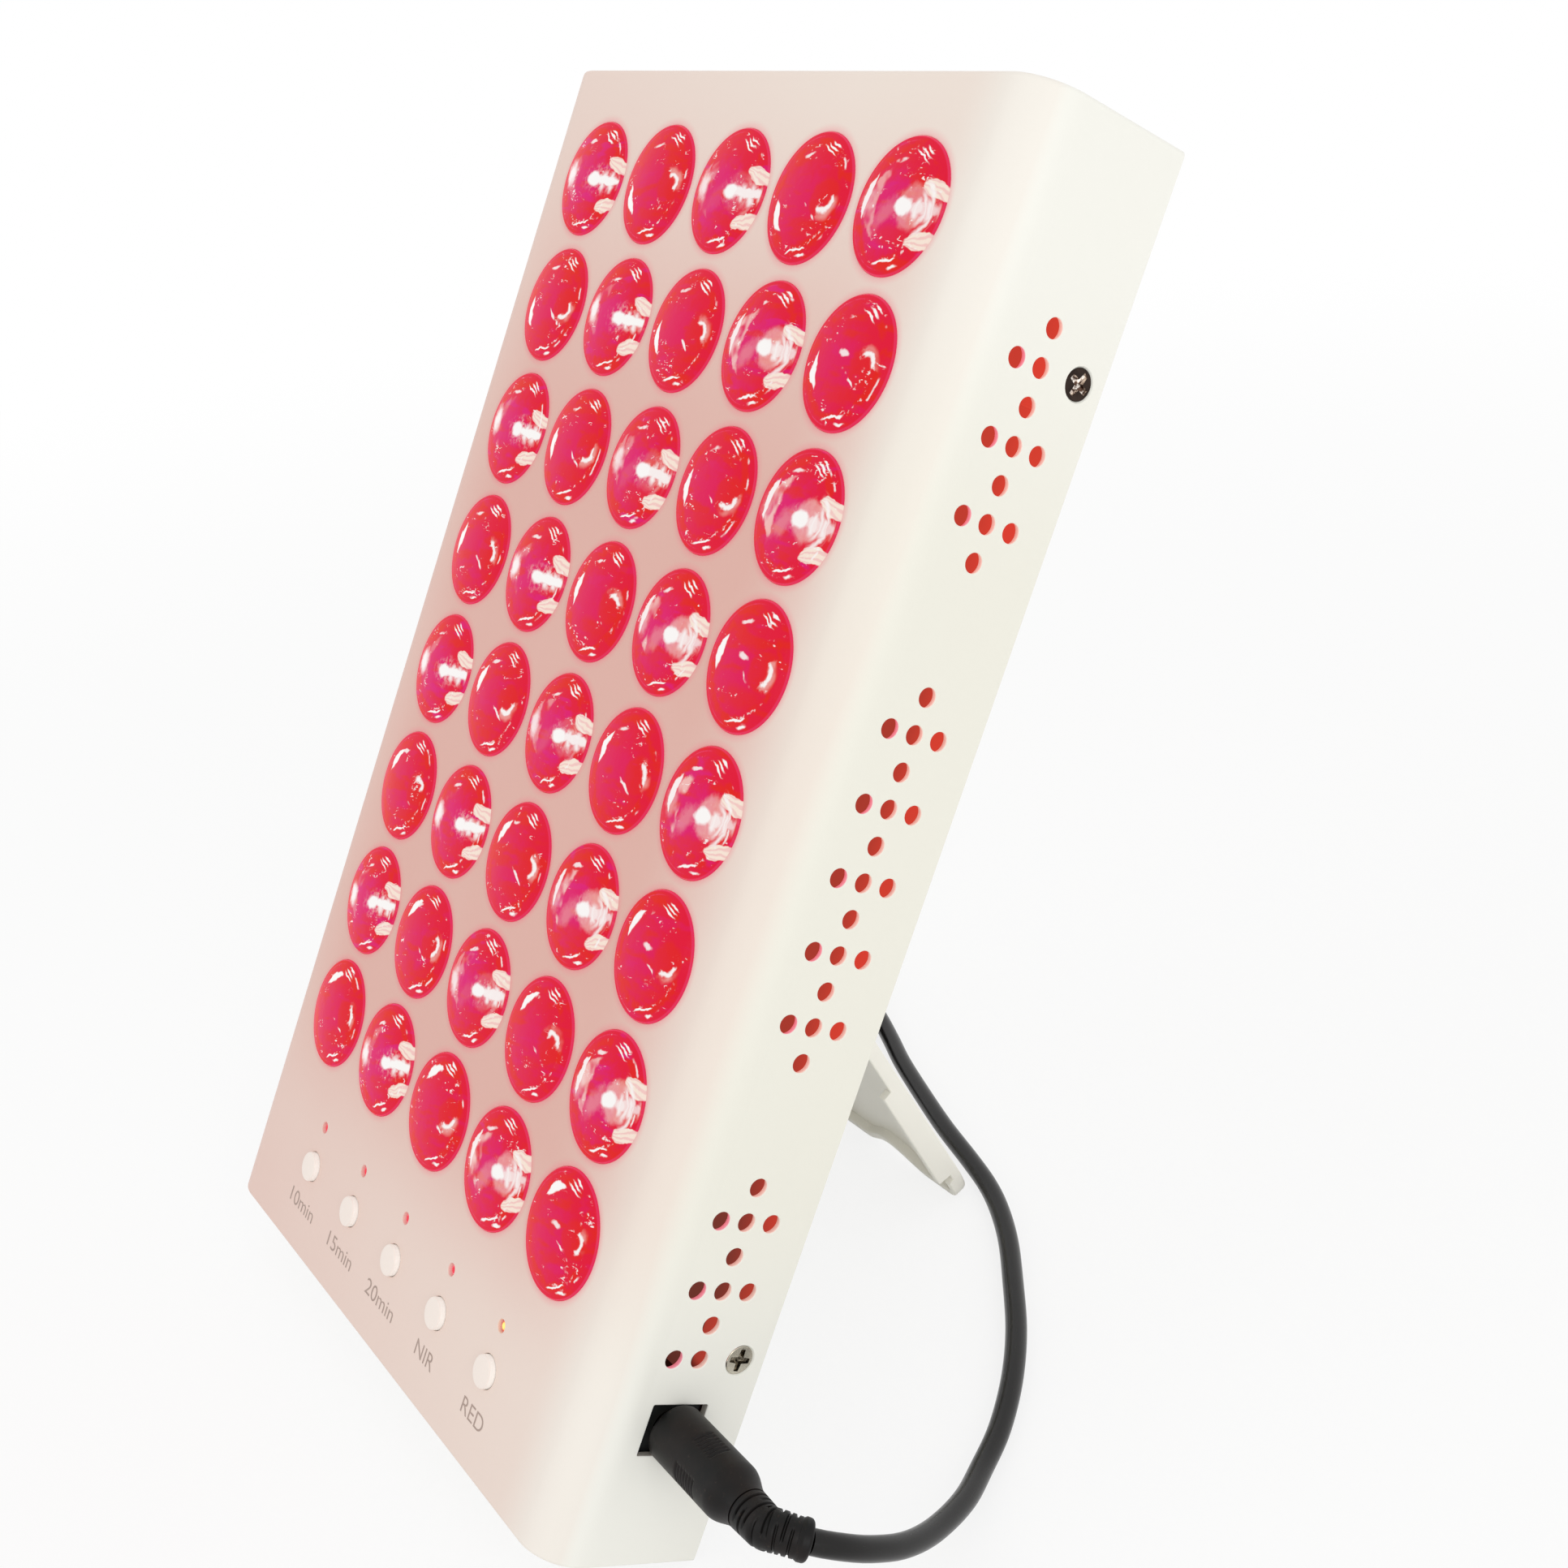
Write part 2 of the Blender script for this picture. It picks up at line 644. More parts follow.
def lensFinish():
    # Clear tinted lens: lit or dark ones, by the mesh's own attribute, with their column and row
    f = Finish(
        "lensGlow", Roughness=0.08, IOR=1.45, Specular_IOR_Level=0.08,
        Emission_Strength=glow["strength"],
    )
    flatU, flatV = f.spotParts()
    kind = f.node("ShaderNodeAttribute", {"attribute_name": "kind"}).outputs["Vector"]
    lit, column, row = f.parts(kind)

    # Low lenses are seen more steeply, and what shines in them turns with that
    turn = (row - 2.0).most(0.0) * 0.055
    a, b = turn.cosine(), turn.sine()
    u, v = flatU * a + flatV * b, flatV * a - flatU * b
    seed = column * 3.7 + row * 5.3
    place = f.joined(u, v, seed)
    flatPlace = f.joined(u * 0.7, v * 2.2, seed)
    values = {"Vector": place, "Scale": 4.5, "Detail": 2.0}
    shift = f.parts(f.node("ShaderNodeTexNoise", None, values).outputs["Color"])
    u, v = u + (shift[0] - 0.5) * 0.16, v + (shift[1] - 0.5) * 0.12
    ragged = f.noise(place, 5.0, 4.0, 0.65) - 0.5
    fine = f.noise(place, 13.0, 3.0, 0.6)
    bands = f.noise(flatPlace, 1.9)
    marks = LensMarks(u, v, ragged)
    blob = {name: marks.blob(*shape) for name, shape in blobs.items()}
    radius = flatU.hypot(flatV)

    # Scribbles: contour lines of two noises, kept in patches
    flow = f.noise(flatPlace, 1.7, 3.0, 0.6)
    scribble = abs(flow - 0.5).drop(0.004, 0.022) * fine.fade(0.50, 0.62)
    patches = f.noise(place, 3.3, 1.0)
    scribble = scribble * patches.fade(0.50, 0.60)
    scribble = scribble * radius.fade(0.30, 0.45) * radius.drop(0.90, 0.95)

    # Strokes of light near the rim, on every lens
    coarse = f.noise(place, 2.7)
    upper = marks.strokes((0.24, 0.70), (0.055, 0.050), 3, (0.17, 0.016), -27, 0.8)
    lower = marks.strokes((0.00, -0.82), (0.13, 0.030), 3, (0.13, 0.016), 16, 1.0)
    rightArc = abs(radius - 0.87 + ragged * 0.08).drop(0.004, 0.026) * u.fade(0.2, 0.5)
    rightArc = rightArc * coarse.fade(0.58, 0.66)
    lowArc = abs(radius - 0.78 + ragged * 0.16).drop(0.004, 0.024)
    lowArc = lowArc * v.drop(-0.45, -0.2) * u.fade(-0.1, 0.2) * fine.fade(0.50, 0.62)
    leftDash = blob["leftDash"] * coarse.fade(0.42, 0.5)
    rims = upper.most(lower, blob["lowPatch"], rightArc * 0.8, leftDash * 0.8, lowArc * 0.7)
    rims = rims.most(scribble * 0.9)

    # Lit lens: a streak, which the right columns show as a disc with rings
    wide = column.fade(-0.6, 1.2)
    tail = blob["tail"] * (1.0 - wide * 0.35)
    beads = (u * 27.0).wave() * blob["beads"]
    petalUp, stripesUp = marks.petal((0.81, 0.25), (0.29, 0.12), -17, (0.48, 0.36))
    petalDown, stripesDown = marks.petal((0.72, -0.46), (0.29, 0.12), 13, (0.38, -0.52))
    petals = petalUp.most(petalDown)
    stripes = (petalUp * stripesUp).most(petalDown * stripesDown)
    fromDisc = (u - 0.42).hypot(v + 0.02)
    disc = (fromDisc + ragged * 0.14).drop(0.26, 0.38) * (fine * 0.5 + 0.55)
    spots = blob["nearSpot"].most(blob["farSpot"] * 0.8)
    rings = (fromDisc * 52.0).wave() * u.fade(0.50, 0.68) * fromDisc.drop(0.44, 0.5)
    milk = blob["milk"] * fine.fade(0.42, 0.66) * 0.6
    angle = row * -0.03 + (math.pi - 0.12)
    left = marks.ringStretch(0.76, angle, 0.34, 0.085, 0.9) * wide
    leftDot = blob["leftDot"] * (1.0 - wide * 0.7)
    leftMilk = marks.ringStretch(0.58, angle + 0.05, 0.50, 0.17, 0.9) * patches.fade(0.40, 0.62)
    haze = blob["haze"] * wide * 0.3
    litWhite = blob["head"].most(tail, beads * 0.9, spots * wide, rings * wide * 0.85)
    litWhite = litWhite.most(left.most(leftDot) * 0.92)
    litPale = milk.most(disc * wide * 0.65, leftMilk * (wide * 0.55 + 0.25), haze)
    litPale = litPale * (row.fade(-1.2, 1.5) * 0.5 + 0.5)

    # Dark lens: the unlit chip with a curl of reflections round it
    angle = row * -0.209 + 3.665 - turn
    crescent = marks.ringStretch(0.71, angle, 0.29, 0.085, 0.35)
    chipU, chipV = u - 0.50, v + 0.02
    fromChip = chipU.hypot(chipV)
    around = chipV.math("ARCTAN2", chipU)
    curl = ((around + (seed * 1.9).sine() * 1.1).cosine() + ragged * 1.6).fade(0.30, 0.60)
    arcs = abs(fromChip - 0.18 + ragged * 0.12).drop(0.015, 0.055) * curl
    veil = abs(fromChip - 0.22).drop(0.02, 0.12) * curl * coarse.fade(0.35, 0.6)
    dash = marks.strokes((0.20, -0.20), (0.10, -0.06), 2, (0.13, 0.020), -38, 1.4)
    dash = dash * coarse.fade(0.44, 0.52)
    knot = blob["knot"] * (column > 1.5)
    darkWhite = crescent.most(arcs * 0.95, dash * 0.9, knot * 0.8)

    # Body colour
    body = f.mix(blob["rosy"] * (lit * 0.35 + 0.38), glow["red"], glow["magenta"])
    chip = fromChip.drop(0.26, 0.36) * (1.0 - lit) * 0.85
    warm = bands.fade(0.52, 0.68).most(chip, blob["low"] * 0.8 * bands.fade(0.35, 0.5))
    body = f.mix(warm * 0.7, body, glow["orange"])
    arc = abs(radius - 0.80 + ragged * 0.22).drop(0.03, 0.09) * coarse.fade(0.44, 0.56) * 0.7
    body = f.mix(arc, body, glow["orange"])
    pinkBands = bands.drop(0.30, 0.40) * (lit * 0.5 + 0.25)
    body = f.mix(pinkBands, body, glow["magenta"])
    thinRing = abs(radius - 0.925).drop(0.003, 0.012) * u.drop(-0.2, 0.1) * fine.fade(0.3, 0.6)
    body = f.mix((thinRing * 0.6).most(radius.fade(0.97, 0.995) * 0.5), body, glow["edge"])
    dark = 1.0 - lit
    light = f.mix((litPale * lit).most(veil * dark * 0.5), body, glow["milk"])
    light = f.mix(petals * lit * 0.95, light, glow["cream"])
    light = f.mix(stripes * lit * 0.38, light, glow["streak"])
    bright = (litWhite * lit).most(darkWhite * dark, rims) * radius.drop(0.94, 0.98)
    light = f.mix(bright, light, glow["white"])
    f.set("Emission Color", f.mix(1.0, light, glow["shown"], "MULTIPLY"))
    f.colour(1.0, light, glow["reflected"], "MULTIPLY")
    f.bump(ragged * 0.5 + radius * 0.2, 0.0004, 0.25)
    return f.material


def plasticFinish(name, colour, shade, roughness):
    # Moulded plastic: fine spark texture, slight cloudiness, and worn gloss
    f = Finish(name, IOR=1.46)
    place = f.objectPlace()
    cloud = f.noise(place, 45.0, 3.0)
    f.colour(cloud.fade(0.3, 0.75), tone(*colour), tone(*shade))
    f.wear(f.noise(place, 240.0, 3.0), 0.14, roughness)
    f.bump(f.noise(place, 1800.0, 3.0, 0.6), 0.00002, 0.4)
    return f.material


def metalFinish(name, colour, shade, roughness=0.3, scratch=500.0, spread=0.5):
    f = Finish(name, Metallic=1.0)
    place = f.objectPlace()
    cloud = f.noise(place, scratch, 3.0).fade(0.5 - spread, 0.5 + spread)
    f.colour(cloud, tone(*colour), tone(*shade))
    f.wear(cloud, 0.18, roughness)
    f.bump(f.noise(place, scratch * 5), 0.00001, 0.3)
    return f.material


def buttonFinish():
    # Smooth cap, its wall a little paler than the pressed face
    f = Finish("buttonPlastic", IOR=1.46)
    place = f.casePlace()
    _, y, _ = f.parts(place)
    wall = (y + case["depth"]).fade(-0.00105, -0.00080)
    face = f.mix(f.noise(place, 60.0), tone(249, 238, 229), tone(244, 231, 222))
    f.colour(wall, face, tone(255, 252, 247))
    f.wear(f.noise(place, 240.0, 3.0), 0.12, 0.40)
    return f.material


def cordFinish():
    # Soft sheath: brownish black, faint lengthwise drag marks and dust
    f = Finish("cordSheath", Specular_IOR_Level=0.32)
    along, around = f.spotParts()
    drag = f.noise(f.joined(along * 60.0, around * 9.0, 0.0), 3.0, 3.0)
    dust = f.noise(f.objectPlace(), 320.0, 4.0, 0.7)
    base = f.mix(drag, tone(10, 10, 9), tone(24, 21, 19))
    f.colour(dust.fade(0.62, 0.85) * 0.25, base, tone(70, 60, 54))
    f.wear(drag, 0.14, 0.25)
    f.bump(drag * 0.6 + dust * 0.4, 0.00003, 0.4)
    return f.material


def rubberFinish():
    # Overmoulded plug: matt brownish black with fine dust
    f = Finish("plugRubber", Specular_IOR_Level=0.22)
    place = f.objectPlace()
    dust = f.noise(place, 900.0, 3.0, 0.7)
    cloud = f.noise(place, 130.0, 3.0)
    base = f.mix(cloud.fade(0.3, 0.7), tone(7, 8, 8), tone(24, 18, 16))
    f.colour(dust.fade(0.6, 0.8) * 0.30, base, tone(84, 66, 56))
    f.wear(cloud, 0.14, 0.45)
    f.bump(dust, 0.00004, 0.5)
    return f.material


def inkFinish():
    # Thin printed ink, slightly uneven in cover
    f = Finish("labelInk", Roughness=0.55)
    cover = f.noise(f.objectPlace(), 1500.0)
    f.colour(cover, tone(160, 138, 128), tone(184, 162, 150))
    return f.material


def indicatorFinish(name, colour, core):
    f = Finish(name, Roughness=0.25, Emission_Strength=0.9)
    u, v = f.spotParts()
    light = f.mix(u.hypot(v).drop(0.45, 0.95), colour, core)
    f.colour(1.0, light, (0.4, 0.4, 0.4, 1.0), "MULTIPLY")
    f.set("Emission Color", light)
    return f.material


finishes = {
    "paint": paintFinish(),
    "lit": litFinish("litInside", inside["red"], 0.85),
    "board": litFinish("litBoard", inside["boardRed"], 0.65, 200.0),
    "litEdge": litEdgeFinish(),
    "lens": lensFinish(),
    "button": buttonFinish(),
    "ink": inkFinish(),
    "rubber": rubberFinish(),
    "cord": cordFinish(),
    "indicator": indicatorFinish("indicatorPink", tone(240, 110, 130), tone(214, 22, 52)),
    "indicatorOn": indicatorFinish("indicatorAmber", tone(226, 84, 66), tone(255, 222, 118)),
}
for name, *look in (
    ("cover", (238, 238, 231), (235, 235, 228), 0.5),
    ("stand", (250, 247, 237), (247, 244, 234), 0.45),
    ("adapter", (30, 30, 31), (38, 38, 39), 0.42),
    ("tie", (26, 26, 26), (40, 40, 40), 0.5),
    ("socket", (10, 13, 13), (18, 21, 20), 0.6),
):
    finishes[name] = plasticFinish(f"{name}Plastic", *look)
for name, material, *look in (
    ("nickel", "nickelScrew", (214, 208, 192), (186, 178, 160), 0.25),
    ("black", "blackenedScrew", (70, 58, 52), (34, 28, 25), 0.35),
    ("blackRecess", "blackScrewCross", (255, 246, 236), (96, 72, 60), 0.3, 1500.0, 0.12),
    ("nickelRecess", "nickelScrewCross", (150, 140, 122), (30, 27, 24), 0.3, 1500.0, 0.15),
    ("brass", "brassPart", (226, 196, 128), (204, 170, 104)),
    ("prong", "prongMetal", (222, 216, 204), (200, 194, 180), 0.22),
):
    finishes[name] = metalFinish(material, *look)
print("finishes made")


# Front shell: punched flat, folded along its two long edges and closed at both ends

shell = {
    "lensHole": (0.01156, 72),  # the round holes: radius and number of corners
    "buttonHole": (0.00322, 40),
    "buttonPitch": 0.0215,
    "buttonZ": 0.0187,
    "indicatorHole": (0.00125, 20),
    "indicatorZ": 0.0278,
    "ventHole": (0.0017, 28),
    "ventFlare": 0.0004,
    "ventRow": 0.00645,
    "ventColumn": 0.0054,
    "ventDepth": 0.0179,
    "ventGroup": 0.0744,
    "screwHead": (0.003, 36),
    "screwNeck": 0.0018,
    "screwFromRear": 0.0053,
    "screwFromMiddle": 0.0874,
    "socketDepth": 0.01735,
    "socketZ": 0.02675,
    "opening": (0.0115, 0.0097),
    "openingCorner": 0.0003,
    "rimRound": 0.00018,
    "rimMargin": 0.00035,
    "bendSteps": 18,
}
halfFlat = caseSide - case["bend"]
bendArc = case["bend"] * math.pi / 2
sideEnd = halfFlat + bendArc + case["depth"] - case["bend"]
buttonX = (np.arange(5) - 2) * shell["buttonPitch"]


def folded(s, z, depth):
    # s runs across the flat sheet from its middle. The bend is a quarter circle whose radius
    # shrinks by the depth below the outer face
    s, z = np.broadcast_arrays(s, z)
    turn = np.clip((np.abs(s) - halfFlat) / case["bend"], 0, math.pi / 2)
    past = np.maximum(np.abs(s) - halfFlat - bendArc, 0)
    radius = case["bend"] - depth
    x = np.sign(s) * (np.minimum(np.abs(s), halfFlat) + radius * np.sin(turn))
    y = case["bend"] - case["depth"] - radius * np.cos(turn) + past
    return np.stack(np.broadcast_arrays(x, y, z), -1)


def atSide(hand, depth):
    return hand * (halfFlat + bendArc + depth - case["bend"])


def ventPlaces(hand):
    # (distance behind the front, height). In three groups rows of one and of three holes take
    # turns; one row lacks its last hole, and the right side the hole beside the power opening
    places = []
    for group, rows in ((0, 11), (1, 7), (-1, 7)):
        for row in range(rows):
            z = caseMiddle + group * shell["ventGroup"]
            z += (group or 1) * ((rows - 1) / 2 - row) * shell["ventRow"]
            columns = (-1, 0, 1) if row % 2 else (0,)
            if group and row == 1:
                columns = (-1, 0)
            if group == -1 and row == 0 and hand == 1:
                columns = ()
            places += [(shell["ventDepth"] + c * shell["ventColumn"], z) for c in columns]
    return places


def rimRows(outer, inner):
    # (growth, depth) down through the wall: round edge, straight wall, round edge
    wall, margin = case["wall"], shell["rimMargin"]
    free, past = shell["rimRound"] * np.array(quarterTurn(4))
    top, low = np.stack([outer + free, past], -1), np.stack([inner + past, wall - free], -1)
    return np.concatenate([[[outer + margin, 0]], top, low, [[inner + margin, wall]]])


def punched(outline, rings):
    # Triangles between an outline and the rings inside it, in the flat
    loops = [np.asarray(outline, float)] + rings
    owner = np.concatenate([np.full(len(loop), i) for i, loop in enumerate(loops)])
    first = np.cumsum([0] + [len(loop) for loop in loops])
    edges = []
    for start, loop in zip(first, loops):
        edges += [(start + i, start + (i + 1) % len(loop)) for i in range(len(loop))]
    flat = [Vector(p) for p in np.concatenate(loops)]
    points, _, faces, origin, _, _ = delaunay_2d_cdt(flat, edges, [], 0, 1e-9)
    source = np.array([owner[o[0]] for o in origin])
    kept = [list(f) for f in faces if source[f[0]] == 0 or len(set(source[list(f)])) > 1]
    return np.array([tuple(p) for p in points]), kept


def roundHole(s, z, hole, flare=0):
    radius, sides = hole
    return circleRing(s, z, sides), rimRows(radius, radius + flare)


def sideHoles(hand):
    # Vents, countersunk screw holes and, on the right, the opening of the power socket
    holes = [
        roundHole(atSide(hand, depth), z, shell["ventHole"], shell["ventFlare"])
        for depth, z in ventPlaces(hand)
    ]
    head, sides = shell["screwHead"]
    margin = shell["rimMargin"]
    rows = np.array([
        [head + margin, 0], [head, 0],
        [shell["screwNeck"], case["wall"]], [shell["screwNeck"] + margin, case["wall"]],
    ])
    s = atSide(hand, case["depth"] - shell["screwFromRear"])
    for end in (-1, 1):
        z = caseMiddle + end * shell["screwFromMiddle"]
        holes.append((circleRing(s, z, sides), rows))
    if hand == 1:
        half = (shell["opening"][0] / 2, shell["opening"][1] / 2)
        s = atSide(hand, shell["socketDepth"])
        ring = roundedRing(s, shell["socketZ"], half, shell["openingCorner"], 3)
        holes.append((ring, rimRows(0, 0)))
    return holes


def buildShell():
    skin = Skin()
    wall, fold, high = case["wall"], case["fold"], case["height"]
    faces = ((0, fold, 0), (wall, wall, 1))  # of the sheet: depth, margin at both ends, finish
    frontHoles = [roundHole(x, z, shell["lensHole"]) for z in lensZ for x in lensX]
    for x in buttonX:
        frontHoles.append(roundHole(x, shell["buttonZ"], shell["buttonHole"]))
        frontHoles.append(roundHole(x, shell["indicatorZ"], shell["indicatorHole"]))
    regions = [((-halfFlat, halfFlat), frontHoles)]
    for hand in (-1, 1):
        ends = sorted((hand * (halfFlat + bendArc), hand * sideEnd))
        regions.append((ends, sideHoles(hand)))
    for (left, right), holes in regions:
        for depth, low, finish in faces:
            row = 0 if depth == 0 else -1
            rings = [ring(rows[row, 0]) for ring, rows in holes]
            outline = [(left, low), (right, low), (right, high - low), (left, high - low)]
            flat, triangles = punched(outline, rings)
            skin.add(folded(*flat.T, depth), triangles, finish=finish)
        for ring, rows in holes:
            points = np.stack([folded(*ring(grow).T, depth) for grow, depth in rows])
            skin.grid(points[:4], wrap=True)
            skin.grid(points[3:], wrap=True, finish=2 if len(rows) > 4 and left > 0 else 0)

    # Bends, then the small folds at both ends with their end plates
    bend = halfFlat + np.linspace(0, bendArc, shell["bendSteps"] + 1)
    for depth, low, finish in faces:
        for hand in (-1, 1):
            ends = np.array([[low], [high - low]])
            skin.grid(folded(hand * bend[None, :], ends, depth), finish=finish)
    across = np.concatenate([[-sideEnd], -bend[::-1], bend, [sideEnd]])
    free, past = fold * np.array(quarterTurn(5))
    for end, inward in ((0, 1), (high, -1)):
        rows = [folded(across, end + inward * a, b) for a, b in zip(free, past)]
        skin.grid(np.stack(rows))
        skin.patch(rows[-1])
        skin.patch(folded(across, end + inward * wall, wall), finish=1)

    # Rear rim, a flat frame between the outer and the inner edge
    corner = [(caseSide - b, high - a) for a, b in zip(free, past)]
    outline = corner + [(-x, z) for x, z in corner[::-1]]
    outline += [(x, high - z) for x, z in outline[::-1]]
    x, top = caseSide - wall, high - wall
    inner = np.array([(x, wall), (x, top), (-x, top), (-x, wall)])
    flat, triangles = punched(outline, [inner])
    skin.add(np.insert(flat, 1, 0, 1), triangles)
    skin.make("shellSheet", "paint lit litEdge", "case", "front_shell")


buildShell()
print("front shell made")


def buildLenses():
    radius, rim, rise = lens["radius"], lens["rim"], lens["rise"]
    taper, taperEnd = lens["taper"]
    profile = [
        (0, -lens["bodyDepth"]), (lens["rearRadius"], -lens["bodyDepth"]),
        (radius * taper, taperEnd), (radius, lens["barrelFrom"]), (radius, rim - lens["rimSoft"]),
    ]
    profile += [(radius * k, rim + (rise - rim) * (1 - k * k)) for k in np.linspace(0.99, 0, 14)]
    back = -case["depth"] + case["wall"] + lens["clearance"]
    end, half = lensX[-1] + lens["stripEnd"], lens["stripHeight"] / 2
    for row, z in enumerate(lensZ):
        skin = Skin()
        for column, x in enumerate(lensX):
            lit = 1.0 if (row + column) % 2 == 0 else 0.0
            kind = (lit, column - 2, row)
            turned(skin, profile, outOfFront(x, z), lens["sides"], radius, kind=kind)
        low, high = (-end, back, z - half), (end, back + lens["stripThickness"], z + half)
        block(skin, low, high, lens["stripEdge"], finish=1)
        skin.make(f"lensRow{row + 1}", "lens lit", "case", f"lens_row_{row + 1}")


buildLenses()
print("lenses made")


button = {
    "radius": 0.0031,
    "proud": 0.00115,
    "crown": 0.0001,
    "edge": 0.00035,
    "flangeRadius": 0.0042,
    "flangeFront": -0.0018,
    "flangeThickness": 0.0008,
    "stemRadius": 0.002,
    "stemLength": 0.001,
    "sides": 48,
}
indicator = {
    "radius": 0.00095,
    "rear": -0.0084,
    "shoulder": -0.0008,
    "crown": 0.0004,
    "sides": 20,
    "lit": 4,  # the one that shines, counted from 0
}


def buildControls():
    proud, edge, front = button["proud"], button["edge"], button["flangeFront"]
    rear = front - button["flangeThickness"]
    stem = rear - button["stemLength"]
    profile = [
        (0, stem), (button["stemRadius"], stem), (button["stemRadius"], rear),
        (button["flangeRadius"], rear), (button["flangeRadius"], front), (button["radius"], front),
    ]
    profile += roundedCorner((button["radius"] - edge, proud - edge), edge, 0, 90, 5)
    crown = button["crown"]
    profile += [(button["radius"] * 0.5, proud + crown * 0.7), (0, proud + crown)]
    radius, shoulder = indicator["radius"], indicator["shoulder"]
    guide = [(0, indicator["rear"]), (radius, indicator["rear"]), (radius, shoulder)]
    for share in (0.8, 0.5, 0.2, 0):
        guide.append((radius * share, shoulder + indicator["crown"] * (1 - share * share)))
    for i, x in enumerate(buttonX):
        skin = Skin()
        turned(skin, profile, outOfFront(x, shell["buttonZ"]), button["sides"])
        skin.make(f"buttonCap{i + 1}", "button", f"push_button_{i + 1}", f"button_{i + 1}")
        skin = Skin()
        turned(skin, guide, outOfFront(x, shell["indicatorZ"]), indicator["sides"], radius)
        look = "indicatorOn" if i == indicator["lit"] else "indicator"
        skin.make(f"indicatorLight{i + 1}", look, "case", f"indicator_{i + 1}")


label = {
    # each with its stretch in width
    "words": {"10min": 1.22, "15min": 1.22, "20min": 1.22, "NIR": 1.08, "RED": 1.08},
    "size": 0.0046,
    "z": 0.0098,
    "lift": 0.00003,
    "thin": -0.006,
}


def buildLabels():
    size = label["size"]
    for number, ((word, width), x) in enumerate(zip(label["words"].items(), buttonX)):
        text = bpy.data.curves.new(f"label{number + 1}", "FONT")
        text.body, text.size, text.offset = word, size, label["thin"] * size
        text.align_x = text.align_y = "CENTER"
        text.fill_mode = "FRONT"
        holder = linked("holder", text)
        bpy.context.view_layer.update()
        shown = holder.evaluated_get(bpy.context.evaluated_depsgraph_get())
        mesh = bpy.data.meshes.new_from_object(shown)
        bpy.data.objects.remove(holder)
        local = np.empty(len(mesh.vertices) * 3)
        mesh.vertices.foreach_get("co", local)
        local = local.reshape(-1, 3) * (width, 1, 0) + (0, 0, label["lift"])
        mesh.vertices.foreach_set("co", leaned(outOfFront(x, label["z"])(local)).ravel())
        mesh.update()
        mesh.materials.clear()
        addPiece(f"printedLabel{number + 1}", mesh, "ink", "case")


buildControls()
buildLabels()
print("controls made")


screw = {
    "head": 0.0027,
    "rim": 0.0001,
    "shank": 0.0015,
    "length": 0.007,
    "cross": 0.0021,
    "armRoot": 0.00062,
    "armTip": 0.00046,
    "lean": 0.00012,
    "sunk": 0.0009,
    "fall": (1.1, 0.6),  # shares of the depth in the middle, and lost towards the arms' tips
    "sides": 96,
    "ends": ((1, "black", 65), (-1, "nickel", 87)),  # finish and turn of the cross in degrees
}


def crossRing(turn, grow):
    # For each arm two corners at its tip and one at its root, turned by quarters
    reach, tip, root = (screw[key] + grow for key in ("cross", "armTip", "armRoot"))
    around = []
    for quarter in range(4):
        a = turn + quarter * math.pi / 2
        for x, y in ((reach, -tip), (reach, tip), (root, root)):
            around.append((x * math.cos(a) - y * math.sin(a), x * math.sin(a) + y * math.cos(a)))
    return np.array(around)


def atHeight(flat, height):
    return np.column_stack([flat, np.zeros(len(flat)) + height])


def buildScrews():
    # A cross is cut into the head's flat; its walls lean in and its floor falls to the middle
    number, top, head = 0, -screw["rim"], screw["head"] - screw["rim"]
    profile = [
        (head, top), (screw["head"], top * 2), (screw["shank"], -case["wall"]),
        (screw["shank"], -screw["length"]), (0, -screw["length"]),
    ]
    deep, loss = screw["fall"]
    for end, metal, turn in screw["ends"]:
        turn = math.radians(turn)
        outer, floor = crossRing(turn, 0), crossRing(turn, -screw["lean"])
        fall = deep - np.hypot(*floor.T) / screw["cross"] * loss
        flat, faces = punched(circleRing(0, 0, screw["sides"])(head), [outer])
        recess = np.stack([
            atHeight(outer, top), atHeight(floor, top - screw["sunk"] * fall),
            atHeight(floor * 0, top - screw["sunk"] * deep),
        ])
        for hand in (-1, 1):
            number += 1
            z = caseMiddle + end * shell["screwFromMiddle"]
            place = outOfSide(hand, -shell["screwFromRear"], z)
            skin = Skin()
            skin.add(place(atHeight(flat, top)), faces)
            skin.grid(place(recess), wrap=True, finish=1)
            turned(skin, profile, place, screw["sides"])
            looks, replaced = f"{metal} {metal}Recess", f"cover_screw_{number}"
            skin.make(f"screwHead{number}", looks, "case", replaced, sharp=30)


buildScrews()
print("screws made")


cover = {
    "edge": 0.0003,
    "edgeAngle": 50,  # degrees from which an edge is rounded, and up to which faces are joined
    "flatAngle": 1,
    "beside": 0.0012,  # room between the stand and its recess
    "middle": 0.0012,  # depth of the plate's middle, and of the recess's floor
    "recess": 0.0078,
}


